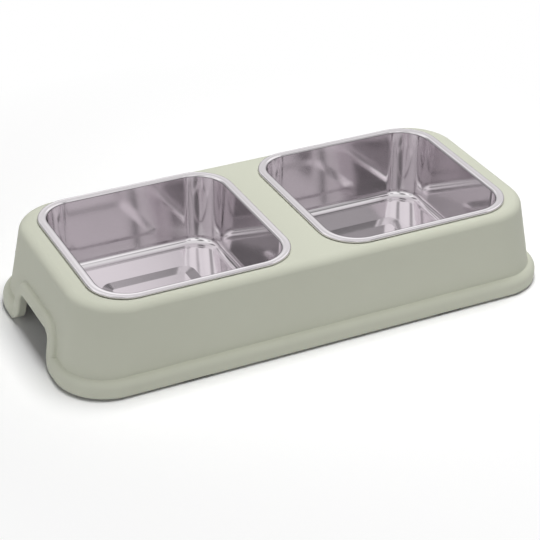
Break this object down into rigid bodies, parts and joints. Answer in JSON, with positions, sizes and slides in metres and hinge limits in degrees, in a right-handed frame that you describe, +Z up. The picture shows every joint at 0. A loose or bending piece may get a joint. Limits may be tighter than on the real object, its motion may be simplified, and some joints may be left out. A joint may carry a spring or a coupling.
{
  "type": "double pet bowl",
  "caption": "Raised feeding stand with square drop-in steel bowls side by side, a beaded foot and a hand arch in each end.",
  "frame": {"origin": "on the table, under the middle of the stand", "axes": "+X along the length, from the left bowl to the right one; +Y from the front to the back; +Z up"},
  "size_m": [0.4, 0.186, 0.0725],
  "materials": {
    "stand": "satin pale sage green moulding",
    "bowl": "drawn stainless steel, softly polished",
    "foot": "matt black rubber"
  },
  "bodies": {
    "stand": {"stand": "stand", "foot_front_left": "foot", "foot_front_right": "foot", "foot_back_left": "foot", "foot_back_right": "foot"},
    "bowl_left": {"bowl_left": "bowl"},
    "bowl_right": {"bowl_right": "bowl"}
  },
  "joints": [
    {"name": "bowl_left_lift", "type": "slide", "parent": "stand", "child": "bowl_left", "axis": [0, 0, 1], "range_m": [0, 0.08]},
    {"name": "bowl_right_lift", "type": "slide", "parent": "stand", "child": "bowl_right", "axis": [0, 0, 1], "range_m": [0, 0.08]}
  ]
}
